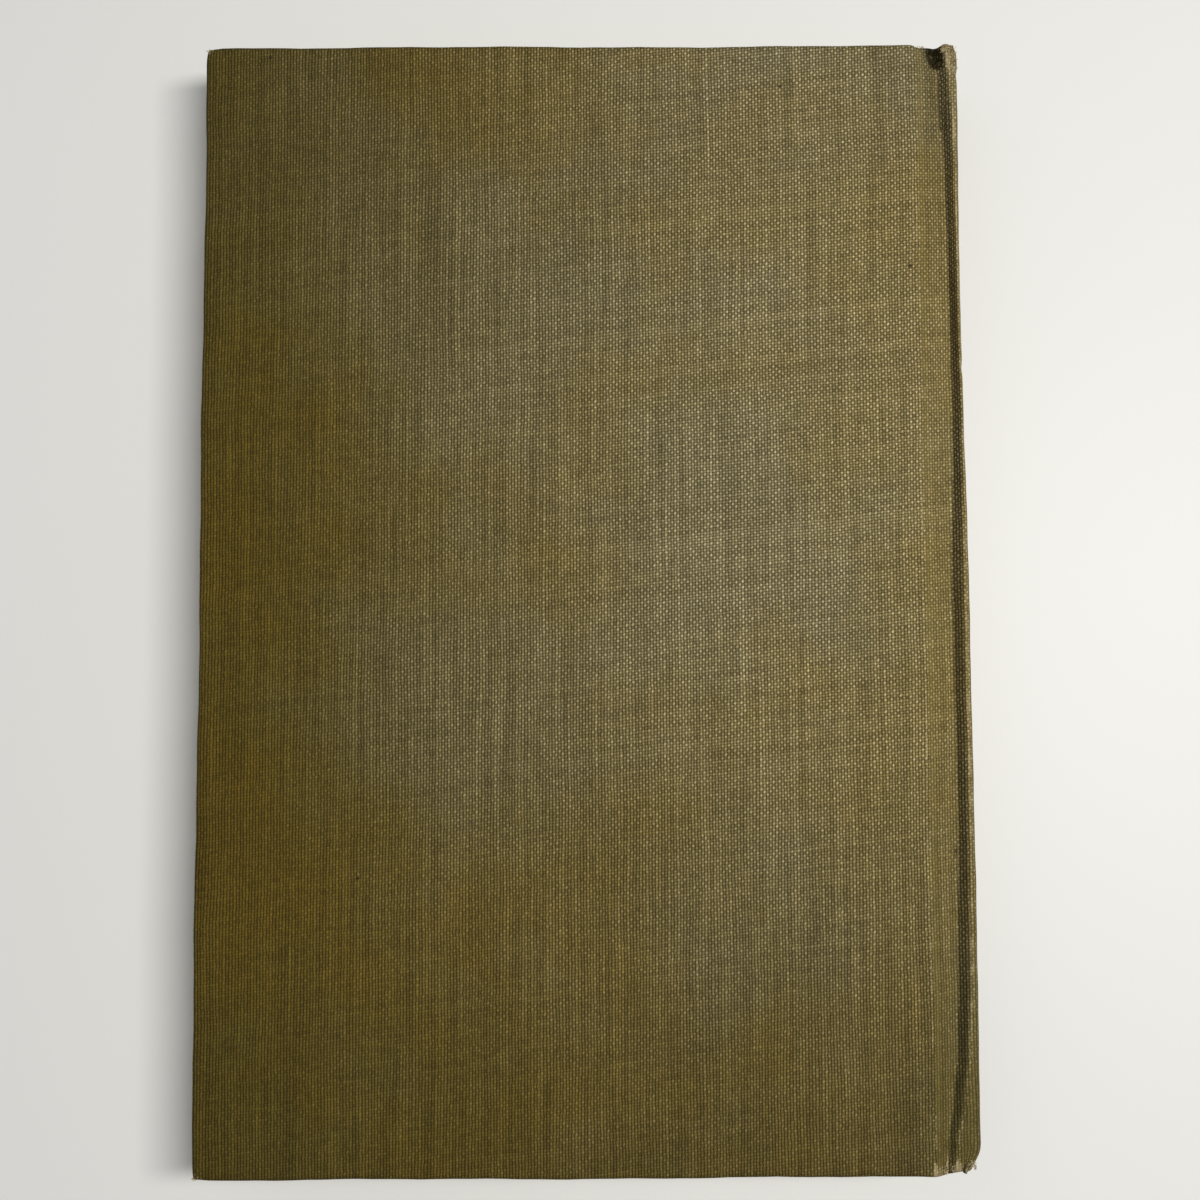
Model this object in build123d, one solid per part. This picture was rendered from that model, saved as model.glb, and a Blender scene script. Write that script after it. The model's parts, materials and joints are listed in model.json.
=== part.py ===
from build123d import *
import os
from math import hypot

# A cloth-covered hardback book that lies on its front cover, with its head towards +Y,
# its spine towards +X and its back cover on top. The origin is under the middle of its
# outer box, on the face it rests on. Every size is in millimetres.

# The case: two boards, the cloth round them and the hollow spine between.
case_height = 197.0      # head to tail, over the cloth
cover_width = 126.0      # fore-edge to the spine-side edge of a covered board
board_thickness = 2.3
cloth_thickness = 0.45
turn_in = 15.0           # how far the cloth is turned over onto the inside
edge_round = 0.8         # outer radius of the fore-edge of a cover
spine_bulge = 1.2        # how far the round of the spine stands out past its ridges

# The joint: the pressed groove between a board and the ridge of the spine.
ridge_width = 2.0        # hinge line to the outside of the ridge
ridge_drop = 0.3         # top of the ridge below the face of the cover
ridge_round = 0.5
groove_depth = 1.7       # floor of the groove below the face of the cover
slope_width = 1.4        # smooth slope that leads down from the board
slope_drop = 0.7
groove_round = 0.6
board_setback = 1.2      # slit in the cloth to the spine-side edge of the board
swing_clearance = 0.4    # what swings with a cover passes this far outside the ridge
slit_width = 0.3         # running gap between a cover's cloth and the spine's cloth

# The pages and what is glued to them.
pages_thickness = 10.6
square = 3.0             # how far the covers stand out past the pages
shoulder_height = 1.0    # the pages flare outwards beside the spine
shoulder_length = 1.6
endpaper_thickness = 0.2
cover_gap = 0.1          # air between a pastedown and the flyleaf it closes on
mull_thickness = 0.25    # open-weave cloth glued over the folds of the pages
mull_short = 18.0        # how much shorter than the pages it is at each end
mull_flange = 25.0       # how far it reaches onto the inside of a board
lining_thickness = 0.2   # brown paper glued over the mull
inlay_thickness = 0.4    # card strip that stiffens the cloth of the spine
inlay_inset = 1.3        # its long edges stop this far inside the faces of the covers
hollow = 0.2             # least air between the lining and the spine's turned-in cloth

# What follows from them.
cover_thickness = board_thickness + 2 * cloth_thickness + endpaper_thickness
inner_stack = cover_thickness + cover_gap + endpaper_thickness
total_thickness = pages_thickness + 2 * inner_stack
swing_radius = hypot(ridge_width, cover_thickness) + swing_clearance
joint_width = ridge_width + swing_radius + board_setback
overall_width = cover_width + joint_width + spine_bulge
mid_z = total_thickness / 2

fore_x = -overall_width / 2
board_x = fore_x + cover_width
ridge_x = board_x + joint_width
hinge_x = ridge_x - ridge_width
ridge_top_x = hinge_x + ridge_width / 2
hinge_z = total_thickness - cover_thickness - cover_gap / 2
back_layers = (cloth_thickness + inlay_thickness + cloth_thickness + hollow
               + lining_thickness + mull_thickness)
pages_back_x = ridge_x - back_layers
pages_fore_x = fore_x + square
pages_height = case_height - 2 * square
board_top_z = total_thickness - cloth_thickness
board_under_z = board_top_z - board_thickness
turned_z = board_under_z - cloth_thickness
pasted_z = turned_z - endpaper_thickness
far = 2 * overall_width  # longer than anything here, for half-space cutters


def block(x, y, z):
    """A box from three (low, high) pairs."""
    box = Box(x[1] - x[0], y[1] - y[0], z[1] - z[0])
    return Pos((x[0] + x[1]) / 2, (y[0] + y[1]) / 2, (z[0] + z[1]) / 2) * box


def along_y(section, height):
    """Stands a section's (x, z) drawing upright and stretches it along Y, both ways."""
    return Rot(90, 0, 0) * extrude(section, height / 2, both=True)


def to_front(piece):
    """The front cover's copy of a piece made for the back cover."""
    return mirror(piece, about=Plane.XY.offset(mid_z))


def upper_line():
    """Corners of the back cover, its groove and the ridge, from fore-edge to spine."""
    top = total_thickness
    return [
        (fore_x, top),
        (board_x, top),
        (board_x + slope_width, top - slope_drop),
        (hinge_x - groove_round, top - groove_depth),
        (ridge_top_x, top - ridge_drop),
        (ridge_x, top - ridge_drop - (ridge_x - ridge_top_x)),
    ]


def rounded(face, places, radius):
    """Rounds the corners of a face that lie at the given (x, z) places."""
    near = 0.01
    corners = [v for v in face.vertices()
               if any(hypot(v.X - x, v.Y - z) < near for x, z in places)]
    return fillet(corners, radius)


def mirrored(points):
    """The same points on the front cover's side."""
    return [(x, total_thickness - z) for x, z in points]


def case_outline():
    """Section of the whole closed book, over the cloth."""
    upper = upper_line()
    lower = mirrored(upper)
    spine = ThreePointArc(upper[-1], (ridge_x + spine_bulge, mid_z), lower[-1])
    face = make_face([Polyline(*upper), spine, Polyline(*lower), Line(lower[0], upper[0])])
    pairs = [(upper[0], edge_round), (upper[1], groove_round), (upper[2], groove_round),
             (upper[3], groove_round), (upper[4], ridge_round)]
    for place, radius in pairs:
        face = rounded(face, [place] + mirrored([place]), radius)
    return face


def inset(face, amount):
    """The same section, smaller all round by an amount, or larger if it is negative."""
    return offset(face, amount=-amount)


def pages_outline():
    """Section of the pages: hollow fore-edge, flat sides, shoulders and round back."""
    side = total_thickness - inner_stack
    tip = side + shoulder_height
    upper = [(pages_fore_x, side), (pages_back_x - shoulder_length, side), (pages_back_x, tip)]
    lower = mirrored(upper)
    back = ThreePointArc(upper[-1], (pages_back_x + spine_bulge, mid_z), lower[-1])
    fore_edge = ThreePointArc(lower[0], (pages_fore_x + spine_bulge, mid_z), upper[0])
    return make_face([Polyline(*upper), back, Polyline(*lower), fore_edge])


outline = case_outline()
under_cloth = inset(outline, cloth_thickness)
pages = pages_outline()
back_line = inset(pages, -mull_thickness)
every_y = (-case_height / 2, case_height / 2)
inside_y = (turn_in - case_height / 2, case_height / 2 - turn_in)
pages_y = (-pages_height / 2, pages_height / 2)
mull_y = (mull_short - pages_height / 2, pages_height / 2 - mull_short)
swing = Pos(hinge_x, 0, hinge_z) * Rot(90, 0, 0) * Cylinder(swing_radius, far)
swing_free = Pos(hinge_x, 0, hinge_z) * Rot(90, 0, 0) * Cylinder(swing_radius - slit_width, far)


def make_board():
    """Back board: square at the joint, its fore-edge rounded as the cloth over it."""
    bar = along_y(under_cloth, case_height - 2 * cloth_thickness)
    return bar & block((fore_x, board_x), every_y, (board_under_z, board_top_z))


def make_cover_cloth():
    """Cloth of the back cover: outer face, three edges and the turn-ins inside them."""
    whole = along_y(outline, case_height)
    side = whole & block((fore_x, hinge_x), every_y, (turned_z, total_thickness))
    window = block((fore_x + turn_in, board_x), inside_y, (turned_z, board_under_z))
    under_joint = along_y(under_cloth, case_height) & block(
        (board_x, hinge_x), every_y, (turned_z, total_thickness))
    turned = along_y(inset(outline, 2 * cloth_thickness), far)
    turned_joint = under_joint - turned - block((fore_x, far), inside_y, (0, far))
    return side - make_board() - window - under_joint + turned_joint - swing


def make_mull_flange():
    """The end of the mull that is glued to the inside of the back board."""
    strip = block((board_x - mull_flange, hinge_x), mull_y,
                  (board_under_z - mull_thickness, board_under_z))
    return strip - swing


def make_pastedown():
    """Endpaper glued to the inside of the back cover, over its turn-ins and the mull."""
    thin = endpaper_thickness
    sheet = block((fore_x + square, hinge_x), pages_y, (pasted_z, board_under_z))
    turned = block((fore_x, board_x), every_y, (turned_z, board_under_z)) - block(
        (fore_x + turn_in, board_x), inside_y, (turned_z, board_under_z))
    pocket = block((fore_x + turn_in + thin, board_x - thin),
                   (inside_y[0] + thin, inside_y[1] - thin), (pasted_z, board_under_z - thin))
    over_mull = block((board_x - mull_flange - thin, board_x),
                      (mull_y[0] - thin, mull_y[1] + thin),
                      (board_under_z - mull_thickness - thin, board_under_z))
    past_board = block((board_x, far), every_y, (turned_z, board_under_z))
    return sheet - turned - (pocket - over_mull) - make_mull_flange() - past_board - swing


def make_flyleaf():
    """Free endpaper that lies on the pages, under the back cover."""
    low = total_thickness - inner_stack
    return block((pages_fore_x, pages_back_x - shoulder_length), pages_y,
                 (low, low + endpaper_thickness))


def make_spine_cloth():
    """Cloth of the spine and the two grooves, turned over the inlay at head and tail."""
    band = along_y(outline, case_height) - along_y(under_cloth, case_height)
    behind_inlay = along_y(inset(outline, cloth_thickness + inlay_thickness), case_height)
    deepest = along_y(inset(outline, 2 * cloth_thickness + inlay_thickness), case_height)
    turned = behind_inlay - deepest - block((fore_x, far), inside_y, (-far, far))
    ends = along_y(under_cloth, case_height) - along_y(
        under_cloth, case_height - 2 * cloth_thickness) - deepest
    beside_inlay = block((ridge_top_x, far), every_y,
                         (inlay_inset, total_thickness - inlay_inset))
    spine_side = block((hinge_x, far), every_y, (0, total_thickness))
    joint_side = block((hinge_x - swing_radius, hinge_x), every_y, (0, total_thickness))
    grooves = (band & joint_side) & (swing_free + to_front(swing_free))
    return (band & spine_side) + grooves + ((turned + ends) & beside_inlay)


def make_spine_inlay():
    """Card strip inside the cloth of the spine, as tall as the boards."""
    height = case_height - 2 * cloth_thickness
    band = along_y(under_cloth, height) - along_y(
        inset(outline, cloth_thickness + inlay_thickness), height)
    return band & block((ridge_top_x, far), every_y,
                        (inlay_inset, total_thickness - inlay_inset))


def make_pages():
    """All the pages, as one solid."""
    return along_y(pages, pages_height)


def make_spine_mull():
    """The middle of the mull, over the folds of the pages and round their shoulders."""
    band = along_y(back_line, pages_height) - along_y(pages, pages_height)
    return band & block((pages_back_x - shoulder_length, far), mull_y, (-far, far))


def make_spine_lining():
    """Paper glued over the mull, from shoulder to shoulder."""
    outer = inset(pages, -(mull_thickness + lining_thickness))
    band = along_y(outer, pages_height) - along_y(back_line, pages_height)
    low = inner_stack - shoulder_height
    return band & block((pages_back_x, far), mull_y, (low, total_thickness - low))


def make_parts():
    """Every piece of the book, by the name of its node."""
    parts = {
        "back_board": make_board(),
        "back_cover_cloth": make_cover_cloth(),
        "back_mull_flange": make_mull_flange(),
        "back_pastedown": make_pastedown(),
        "back_flyleaf": make_flyleaf(),
    }
    for name in list(parts):
        parts[name.replace("back_", "front_")] = to_front(parts[name])
    parts["spine_cloth"] = make_spine_cloth()
    parts["spine_inlay"] = make_spine_inlay()
    parts["text_block"] = make_pages()
    parts["spine_mull"] = make_spine_mull()
    parts["spine_lining_paper"] = make_spine_lining()
    return parts


os.makedirs("parts", exist_ok=True)
print("overall width", round(overall_width, 3), "thickness", round(total_thickness, 3))
print("hinge x", round(hinge_x, 4), "z", round(hinge_z, 4))
print("other hinge z", round(total_thickness - hinge_z, 4))
for name, piece in make_parts().items():
    solids = piece.solids()
    print(name, "solids", len(solids), "volume", round(sum(s.volume for s in solids), 1))
    export_step(piece, os.path.join("parts", name + ".step"))
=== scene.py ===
import bmesh
import bpy
import json
import math
import numpy as np
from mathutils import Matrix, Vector


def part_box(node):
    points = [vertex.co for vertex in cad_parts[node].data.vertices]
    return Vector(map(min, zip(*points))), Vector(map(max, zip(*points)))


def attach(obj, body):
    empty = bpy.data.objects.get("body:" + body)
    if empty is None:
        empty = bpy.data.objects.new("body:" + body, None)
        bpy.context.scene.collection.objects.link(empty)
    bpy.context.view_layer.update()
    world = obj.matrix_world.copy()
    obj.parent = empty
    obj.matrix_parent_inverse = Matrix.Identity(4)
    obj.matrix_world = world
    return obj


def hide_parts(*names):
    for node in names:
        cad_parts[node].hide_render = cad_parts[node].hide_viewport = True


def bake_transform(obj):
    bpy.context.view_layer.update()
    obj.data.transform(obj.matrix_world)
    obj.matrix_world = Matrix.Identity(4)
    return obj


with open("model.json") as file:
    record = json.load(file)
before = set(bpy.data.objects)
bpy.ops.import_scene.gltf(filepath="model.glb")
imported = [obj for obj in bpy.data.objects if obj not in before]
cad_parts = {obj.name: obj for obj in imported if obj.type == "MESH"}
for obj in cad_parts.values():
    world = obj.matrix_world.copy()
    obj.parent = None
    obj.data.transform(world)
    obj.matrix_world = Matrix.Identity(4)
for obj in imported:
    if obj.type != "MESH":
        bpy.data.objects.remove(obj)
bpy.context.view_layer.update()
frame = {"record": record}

# An old cloth-bound book lying on its front cover, with its spine at the right.
# Lengths are in millimetres until a mesh is made, and u, v are places on the flat cloth.

MM = 0.001


def corners_mm(node):
    """Lowest and highest corner of a CAD node, in millimetres."""
    low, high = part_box(node)
    return np.array(low) / MM, np.array(high) / MM


COVER_LOW, COVER_HIGH = corners_mm("back_cover_cloth")
SPINE_HIGH = corners_mm("spine_cloth")[1]
BOARD_LOW, BOARD_HIGH = corners_mm("back_board")
PAGES_LOW, PAGES_HIGH = corners_mm("text_block")
PASTE_LOW, PASTE_HIGH = corners_mm("back_pastedown")
FLY_LOW, FLY_HIGH = corners_mm("back_flyleaf")
MULL_LOW, MULL_HIGH = corners_mm("back_mull_flange")

HINGE = {joint["name"]: joint for joint in frame["record"]["behaviour"]["joints"]}
HINGE_X = HINGE["back_cover_hinge"]["pos_m"][0] / MM
HINGE_Z = HINGE["back_cover_hinge"]["pos_m"][2] / MM

FORE_X = COVER_LOW[0]
BOARD_X = BOARD_HIGH[0]
TOP_Z = COVER_HIGH[2]
MID_Z = TOP_Z / 2
HEAD_Y = COVER_HIGH[1]
SPINE_X = SPINE_HIGH[0]
CLOTH = TOP_Z - BOARD_HIGH[2]
BOARD_WRAP = TOP_Z - BOARD_LOW[2] + CLOTH

TURN_IN = 15.0
PASTED_PAPER = 0.14
FREE_PAPER = 0.11
CARD_TRIM = 4.5
LEAVES = 104
SHOULDER = 1.0
FLARE_RISE = 0.95
FLARE_LENGTH = 1.7
LEAF_SLIP = 0.13
FRAY_LENGTH = 0.7
FRAY_RADIUS = 0.05
EDGE_ROUND = 0.7
CORNER_ROUND = 0.9
SPINE_ROUND = 1.2
RIDGE_X = SPINE_X - SPINE_ROUND
PITCH_WARP = 0.53
PITCH_WEFT = 0.51
WEFT_SLOPE = 0.115
SPECKS = ((-56.0, 96.5), (34.5, 91.0), (-39.5, -48.0))

# Places across a joint: an x on the cover, and an x on the spine or at the pages.
COVER_BEND_X = HINGE_X - 5.6
SPINE_BEND_X = HINGE_X + 1.4
PAPER_BEND_X = HINGE_X - 0.5
CLOTH_BEND_DEPTHS = (0.5, 5.7)


def smooth(value, start, end):
    """0 before start, 1 after end, smooth between."""
    part = np.clip((np.asarray(value, float) - start) / (end - start), 0, 1)
    return part * part * (3 - 2 * part)


def bump_at(value, centre, width):
    """A soft hump of height 1."""
    return np.exp(-((np.asarray(value, float) - centre) / width) ** 2)


def through(value, stops):
    """A smooth line through (place, value) stops."""
    places, values = zip(*stops)
    value = np.clip(np.asarray(value, float), places[0], places[-1])
    out = np.zeros_like(value)
    for (a, va), (b, vb) in zip(stops, stops[1:]):
        inside = (value >= a) & (value <= b)
        out = np.where(inside, va + (vb - va) * smooth(value, a, b), out)
    return out


def ripple(value, seed, steps):
    """Sum of a few sine waves, the wavelengths in steps, each as (length, height)."""
    total = 0.0
    for count, (length, height) in enumerate(steps):
        phase = seed * 2.399 + count * 1.731
        total = total + height * np.sin(np.asarray(value, float) * 2 * math.pi / length + phase)
    return total


# ---------------------------------------------------------------- meshes

def plain_mesh(name, points_mm, faces, material):
    """A mesh object from points in millimetres."""
    mesh = bpy.data.meshes.new(name)
    mesh.from_pydata([tuple(p) for p in np.asarray(points_mm) * MM], [], faces)
    mesh.polygons.foreach_set("use_smooth", [True] * len(mesh.polygons))
    mesh.materials.append(material)
    mesh.update()
    piece = bpy.data.objects.new(name, mesh)
    bpy.context.scene.collection.objects.link(piece)
    return piece


def baked(piece):
    """Applies the piece's modifiers, so that its mesh is final."""
    graph = bpy.context.evaluated_depsgraph_get()
    mesh = bpy.data.meshes.new_from_object(piece.evaluated_get(graph))
    piece.modifiers.clear()
    piece.data = mesh
    return piece


def thickened(piece, thickness):
    """Gives a sheet its thickness, inwards from the side that shows."""
    wall = piece.modifiers.new("thickness", "SOLIDIFY")
    wall.thickness = thickness * MM
    wall.offset = -1.0
    wall.use_even_offset = False
    return baked(piece)


def store(piece, name, values):
    """A number for each point of the mesh, read by its material."""
    layer = piece.data.attributes.new(name, "FLOAT", "POINT")
    layer.data.foreach_set("value", np.asarray(values, np.float32).ravel())


# ---------------------------------------------------------------- the case cloth

def ridge_light(y):
    """Width of the flat top of the ridge beside the joint, from tail to head."""
    return through(y, [(-98.5, 4.2), (-93, 3.7), (-86, 2.6), (-78, 1.7), (-66, 1.25), (-37, 0.9),
                       (0, 0.85), (33, 0.4), (61, 0.6), (75, 0.85), (85, 1.1), (92, 1.5), (98.5, 2.3)])


def flank_width(y):
    """Width of the ridge's steep side, down to the floor of the groove."""
    return through(y, [(-98.5, 1.4), (-88, 1.7), (-60, 1.8), (-37, 1.6), (0, 1.9), (33, 1.5),
                       (98.5, 1.6)])


def joint_points(y):
    """Section of the joint and half the spine at each y, as arrays of x and z."""
    lit = ridge_light(y)
    edge = RIDGE_X + ripple(y, 3, [(61, 0.05), (23, 0.04), (9, 0.03)])
    edge = edge - 0.35 * bump_at(y, 94.6, 1.2) + 0.12 * bump_at(y, 97.0, 1.5)
    edge = edge - 0.28 * bump_at(y, 40.7, 1.0)
    crest_x = edge - lit
    crest_z = TOP_Z - 0.25 + ripple(y, 5, [(47, 0.05), (17, 0.05)]) - 0.35 * bump_at(y, 40.7, 0.9)
    crest_z = crest_z - through(y, [(-98.5, 0.5), (-84, 0.25), (-60, 0.0), (98.5, 0.0)])
    dip = through(y, [(-98.5, 1.0), (-90, 1.1), (-70, 1.75), (60, 2.05), (90, 2.0), (98.5, 1.9)])
    floor_x = crest_x - flank_width(y)
    floor_z = TOP_Z - dip
    slope_x = BOARD_X + through(y, [(-98.5, 1.2), (-60, 1.4), (98.5, 1.5)]) \
        + ripple(y, 8, [(31, 0.06), (13, 0.04)])
    slope_z = TOP_Z - 0.62 + 0 * y
    return [
        (BOARD_X - 5 + 0 * y, TOP_Z + 0 * y),
        (BOARD_X - 0.1 + ripple(y, 2, [(43, 0.07), (11, 0.04)]), TOP_Z + 0.03 + 0 * y),
        (slope_x, slope_z),
        (floor_x, floor_z),
        (crest_x, crest_z),
        (edge - 0.12, crest_z - 0.15 - 0.1 * lit),
        (edge + 0.12, crest_z - 1.1),
    ]


JOINT_SAMPLES = (10, 7, 14, 11, 7, 5)
SPINE_SAMPLES = 16
BOARD_SAMPLES = 44


def case_section(y):
    """Section of half the case for each y: x and z arrays of rows by columns."""
    start = FORE_X + EDGE_ROUND
    points = joint_points(y)
    first = points[0]
    xs = [start + (first[0] - start) * k / BOARD_SAMPLES for k in range(BOARD_SAMPLES)]
    zs = [TOP_Z + 0 * y for k in range(BOARD_SAMPLES)]
    for (ax, az), (bx, bz), count in zip(points, points[1:], JOINT_SAMPLES):
        for k in range(count):
            xs.append(ax + (bx - ax) * k / count)
            zs.append(az + (bz - az) * k / count)
    last_x, last_z = points[-1]
    for k in range(SPINE_SAMPLES + 1):
        part = k / SPINE_SAMPLES
        z = last_z + (MID_Z - last_z) * part
        rise = 1 - ((z - MID_Z) / (last_z - MID_Z)) ** 2
        xs.append(last_x + (SPINE_X - last_x) * rise)
        zs.append(z)
    x, z = np.stack(xs, 1), np.stack(zs, 1)
    soft = BOARD_SAMPLES + 2
    for _ in range(5):
        for grid in (x, z):
            grid[:, soft:-1] = (grid[:, soft - 1:-2] + 2 * grid[:, soft:-1] + grid[:, soft + 1:]) / 4
    return x, z


def cloth_rows():
    """y of each row of the cloth's outer face, closer together near head and tail."""
    end = HEAD_Y - EDGE_ROUND
    near = 9.0
    middle = np.linspace(-end + near, end - near, 116)
    tail = np.linspace(-end, -end + near, 20, endpoint=False)
    head = -tail[::-1]
    return np.concatenate([tail, middle, head])


def wrap_path(depth, back):
    """Steps of the cloth round an edge: inset from the edge, depth below the face, length."""
    outer_round = np.minimum(EDGE_ROUND, depth / 2)
    inner_round = np.minimum(0.3, depth / 2)
    steps = []
    for k in range(1, 6):
        turn = math.pi / 2 * k / 5
        steps.append((EDGE_ROUND * (1 - math.sin(turn)) + 0 * depth,
                      outer_round * (1 - math.cos(turn))))
    for k in (1, 2):
        steps.append((0 * depth, outer_round + (depth - outer_round - inner_round) * k / 2))
    for k in range(1, 4):
        turn = math.pi / 2 * k / 3
        steps.append((inner_round * (1 - math.cos(turn)),
                      depth - inner_round * (1 - math.sin(turn))))
    for k in range(1, 9):
        steps.append((inner_round + (back - inner_round) * k / 8, depth + 0 * depth))
    length = 0 * depth
    last = (EDGE_ROUND + 0 * depth, 0 * depth)
    path = []
    for inset, drop in steps:
        length = length + np.hypot(inset - last[0], drop - last[1])
        path.append((inset, drop, length))
        last = (inset, drop)
    return path


def squeezed(place, start, edge, span=30.0):
    """Moves the places near an edge, so that the first one, at start, comes to edge."""
    part = np.clip((place - start) / span, 0, 1)
    return np.where(place < start + span, edge + (start + span - edge) * part, place)


def square_to_round(x, y):
    """Rounds the two fore-edge corners of the covers, seen from above."""
    p = (FORE_X + CORNER_ROUND - x) / CORNER_ROUND
    q = (np.abs(y) - (HEAD_Y - CORNER_ROUND)) / CORNER_ROUND
    corner = (p > 0) & (q > 0)
    p_in, q_in = np.clip(p, 0, 1), np.clip(q, 0, 1)
    round_p = p_in * np.sqrt(1 - q_in ** 2 / 2)
    round_q = q_in * np.sqrt(1 - p_in ** 2 / 2)
    new_x = FORE_X + CORNER_ROUND - round_p * CORNER_ROUND
    new_y = np.sign(y) * (HEAD_Y - CORNER_ROUND + round_q * CORNER_ROUND)
    return np.where(corner, new_x, x), np.where(corner, new_y, y)


def worn_shape(x, y, z, seed, damaged):
    """Unevenness of a used case: wavy edges, tucked head and tail of the joint, corners."""
    x, y = square_to_round(x, y)
    near_fore = 1 - smooth(x, FORE_X + 2, FORE_X + 20)
    near_end = smooth(np.abs(y), HEAD_Y - 14, HEAD_Y)
    side = np.sign(y)
    x = x + near_fore * ripple(y, seed, [(83, 0.10), (29, 0.06), (11, 0.03)])
    on_board = 1 - smooth(x, BOARD_X - 1, BOARD_X + 2)
    y = y + side * near_end * on_board * ripple(x, seed + side * 3, [(71, 0.10), (23, 0.06), (8, 0.03)])
    bow = 0.05 * np.sin(x / 21.0 + seed) * np.cos(y / 33.0)
    z = z + bow * smooth(x, FORE_X, FORE_X + 10) * (1 - smooth(x, BOARD_X - 12, BOARD_X - 3))
    # Both halves of the cloth: the edge of the spine wanders, its ends are rounded off.
    lean = through(y, [(-98, 0.4), (-93, 0.2), (-37, 0.25), (0, 0.18), (33, -0.08), (50, -0.25),
                       (65, -0.33), (80, -0.1), (98.5, 0.0)])
    x = x + lean * smooth(x, RIDGE_X - 3, RIDGE_X)
    head = smooth(y, HEAD_Y - 4.2, HEAD_Y - 0.6)
    tail = 1 - smooth(y, -HEAD_Y + 0.6, -HEAD_Y + 6.0)
    y = y - 1.9 * head * smooth(x, RIDGE_X - 1.5, SPINE_X + 0.5) ** 1.4
    drawn_in = (1 - smooth(y, -HEAD_Y, -HEAD_Y + 5.5)) ** 1.5
    y = y + tail * 0.6 * smooth(x, BOARD_X + 0.2, BOARD_X + 4.4)
    y = y - tail * 0.25 * smooth(x, BOARD_X + 5.4, BOARD_X + 6.6)
    x = x - drawn_in * 1.75 * smooth(x, RIDGE_X - 3.0, RIDGE_X)
    if not damaged:
        return x, y, z
    # Head of the joint: the cloth dips, with a pinched hollow beside the rolled cap.
    over_joint = smooth(x, BOARD_X - 0.6, BOARD_X + 0.4) * (1 - smooth(x, RIDGE_X - 3.3, RIDGE_X - 2))
    mouth = smooth(y, HEAD_Y - 4.6, HEAD_Y - 2.2) * (1 - smooth(y, HEAD_Y - 1.0, HEAD_Y))
    z = z - 1.7 * bump_at(x, BOARD_X + 3.2 + 0.3 * (HEAD_Y - y), 1.2) * mouth
    y = y - 0.25 * head * over_joint
    z = z + 0.8 * over_joint * smooth(y, HEAD_Y - 2.4, HEAD_Y - 0.5) * smooth(x, BOARD_X + 1, BOARD_X + 3)
    y = y + 0.45 * head * bump_at(x, RIDGE_X - 1.9, 1.1)
    # Tail: a small torn pit beside the rolled foot of the ridge.
    pit = bump_at(x, BOARD_X + 5.5, 0.65) * bump_at(y, -HEAD_Y + 0.9, 0.8)
    z = z - 1.1 * pit
    # The fore-edge corners are knocked in a little.
    for corner_y, amount in ((HEAD_Y, 0.2), (-HEAD_Y, 0.12)):
        near = bump_at(x, FORE_X, 1.6) * bump_at(y, corner_y, 1.6)
        x = x + amount * near
        z = z - 0.25 * near
    return x, y, z


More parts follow.
